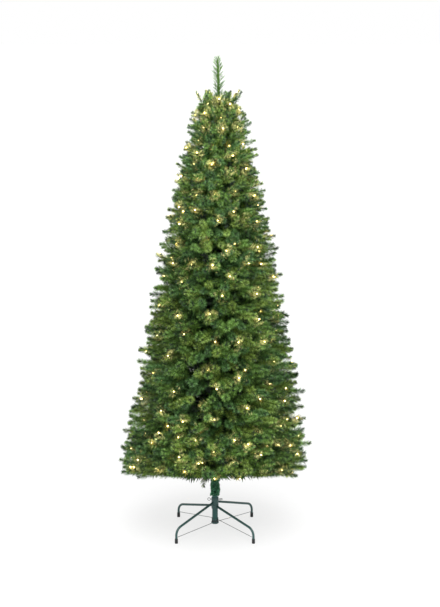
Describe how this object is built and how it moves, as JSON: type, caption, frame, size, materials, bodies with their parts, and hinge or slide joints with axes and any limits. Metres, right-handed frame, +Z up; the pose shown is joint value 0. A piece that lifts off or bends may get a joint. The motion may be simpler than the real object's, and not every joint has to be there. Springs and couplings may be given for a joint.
{
  "type": "artificial christmas tree with stand",
  "caption": "Slim artificial pine Christmas tree, dense with green needles and strung with small warm lights, on a folding steel stand with crossed bent legs.",
  "frame": {"origin": "on the floor, on the axis of the pole, level with the flat undersides of the feet", "axes": "+Z up along the pole, -Y towards the front, +X to the right seen from the front"},
  "size_m": [0.8596, 0.8403, 2.13],
  "materials": {
    "needles": "soft matt plastic needles, mid green with lighter tips",
    "green_steel": "dark teal green powder coat, half gloss",
    "black_rubber": "matt black rubber",
    "black_plastic": "dark moulded plastic",
    "zinc_wire": "bright zinc plated wire"
  },
  "bodies": {
    "root": {"braces_lower": "zinc_wire", "braces_upper": "zinc_wire", "eye_bolt_left": "zinc_wire", "eye_bolt_right": "zinc_wire", "foliage_01_a": "needles", "foliage_01_b": "needles", "foliage_01_c": "needles", "foliage_01_d": "needles", "foliage_01_e": "needles", "foliage_02_a": "needles", "foliage_02_b": "needles", "foliage_02_c": "needles", "foliage_02_d": "needles", "foliage_02_e": "needles", "foliage_03_a": "needles", "foliage_03_b": "needles", "foliage_03_c": "needles", "foliage_03_d": "needles", "foliage_03_e": "needles", "foliage_04_a": "needles", "foliage_04_b": "needles", "foliage_04_c": "needles", "foliage_04_d": "needles", "foliage_04_e": "needles", "foliage_05_a": "needles", "foliage_05_b": "needles", "foliage_05_c": "needles", "foliage_05_d": "needles", "foliage_06_a": "needles", "foliage_06_b": "needles", "foliage_06_c": "needles", "foliage_06_d": "needles", "foliage_07_a": "needles", "foliage_07_b": "needles", "foliage_07_c": "needles", "foliage_07_d": "needles", "foliage_08_a": "needles", "foliage_08_b": "needles", "foliage_08_c": "needles", "foliage_09_a": "needles", "foliage_09_b": "needles", "foliage_09_c": "needles", "foliage_10_a": "needles", "foliage_10_b": "needles", "foliage_10_c": "needles", "foot_back_left": "black_rubber", "foot_back_right": "black_rubber", "foot_front_left": "black_rubber", "foot_front_right": "black_rubber", "leader": "needles", "legs_lower": "green_steel", "legs_upper": "green_steel", "pole_cap": "black_plastic", "pole_garland": "needles", "pole_lower": "green_steel", "pole_middle": "green_steel", "pole_upper": "green_steel"}
  },
  "joints": []
}
